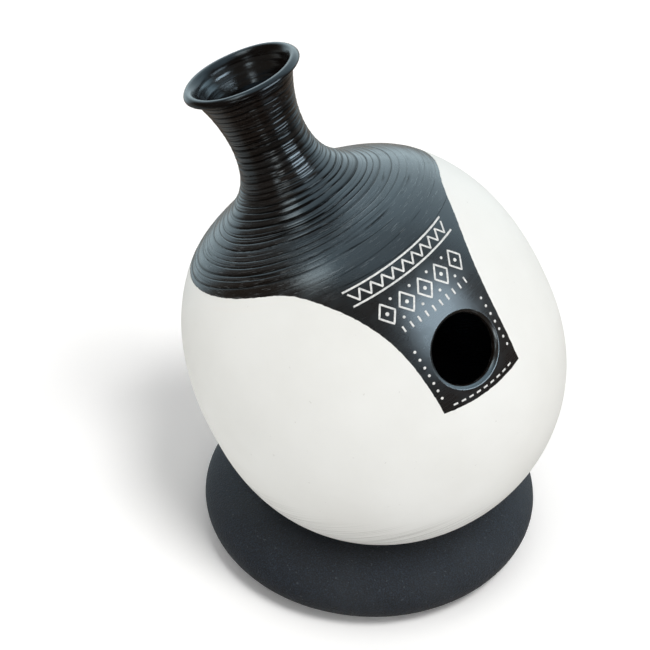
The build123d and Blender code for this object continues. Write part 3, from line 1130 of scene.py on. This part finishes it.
def make_world():
    """White to the camera, plain light to surfaces, and to gloss a dim warm room with cool glows."""
    world = bpy.data.worlds.new("studio")
    bpy.context.scene.world = world
    world.use_nodes = True
    tree = world.node_tree
    ray = add_node(tree, "LightPath")
    sight, gloss = ray.outputs["Is Camera Ray"], ray.outputs["Is Glossy Ray"]
    way = add_node(tree, "TexCoord").outputs["Generated"]

    def glow(middle, start, full, level):
        inputs = {0: way, 1: tuple(unit(np.array(middle)))}
        facing = add_node(tree, "VectorMath", inputs, operation="DOT_PRODUCT").outputs["Value"]
        return in_range(tree, facing, start, full, 0.0, level, smooth=True)

    rise = add_node(tree, "SeparateXYZ", {"Vector": way}).outputs["Z"]
    above_floor = in_range(tree, rise, *FLOOR_RISE, BELOW_FLOOR_SHARE, 1.0, smooth=True)
    brightest = calculate(tree, "MULTIPLY", above_floor, glow(*BACK_GLOW))
    for setting in (TOP_GLOW, SIDE_GLOW, LOW_GLOW):
        brightest = calculate(tree, "MAXIMUM", brightest, glow(*setting))
    mirrored = calculate(tree, "ADD", brightest, DIM_LEVEL)
    level = in_range(tree, gloss, 0.0, 1.0, PLAIN_LEVEL, mirrored)
    shine = mix_colour(tree, in_range(tree, brightest, 0.0, COOL_LEVEL), WARM_GLOSS, COOL_GLOSS)
    colour = mix_colour(tree, gloss, (1.0, 1.0, 1.0, 1), shine)
    background = tree.nodes["Background"]
    tree.links.new(colour, background.inputs["Color"])
    tree.links.new(in_range(tree, sight, 0.0, 1.0, level, 1.0), background.inputs["Strength"])


def make_floor():
    """Pale floor, shown lighter to the camera, so that it is white outside the shadow."""
    half = FLOOR_SIZE / 2
    corners = [(x * half, y * half, -FLOOR_DROP) for x, y in ((-1, -1), (1, -1), (1, 1), (-1, 1))]
    mesh = bpy.data.meshes.new("floor")
    mesh.from_pydata(corners, [], [(0, 1, 2, 3)])
    material = bpy.data.materials.new("floor_paper")
    material.use_nodes = True
    tree = material.node_tree
    tree.nodes.remove(tree.nodes["Principled BSDF"])
    sight = add_node(tree, "LightPath").outputs["Is Camera Ray"]
    paper = add_node(tree, "BsdfDiffuse", {"Color": mix_colour(tree, sight, FLOOR_COLOUR, FLOOR_SEEN)})
    tree.links.new(paper.outputs[0], tree.nodes["Material Output"].inputs["Surface"])
    mesh.materials.append(material)
    floor = bpy.data.objects.new("floor", mesh)
    floor.visible_glossy = False
    bpy.context.collection.objects.link(floor)


def place_light(light, colour, turn, rise, distance):
    """New object of a light that looks at the pot's middle."""
    light.color = colour
    piece = bpy.data.objects.new(light.name, light)
    bpy.context.collection.objects.link(piece)
    look = Matrix.Rotation(radians(turn), 4, "Z") @ Matrix.Rotation(radians(90 - rise), 4, "X")
    piece.matrix_world = Matrix.Translation(AIM) @ look @ Matrix.Translation((0, 0, distance))
    return piece


def make_soft_box(name, turn, rise, width, height, level, colour):
    """Box of a given brightness that only the gloss shows."""
    light = bpy.data.lights.new(name, "AREA")
    light.shape = "RECTANGLE"
    light.size = width
    light.size_y = height
    light.energy = level * pi * width * height
    place_light(light, colour, turn, rise, BOX_DISTANCE).visible_diffuse = False


def make_lamp(name, turn, rise, level, breadth, colour):
    """Broad lamp that lights a facing white surface to a given brightness and isn't mirrored."""
    light = bpy.data.lights.new(name, "SUN")
    light.energy = level * pi
    light.angle = radians(breadth)
    place_light(light, colour, turn, rise, LAMP_DISTANCE).visible_glossy = False


for name, setting in SOFT_BOXES.items():
    make_soft_box(name, *setting)
for name, setting in LAMPS.items():
    make_lamp(name, *setting)
make_camera()
make_world()
make_floor()
bpy.context.scene.view_settings.view_transform = "Standard"
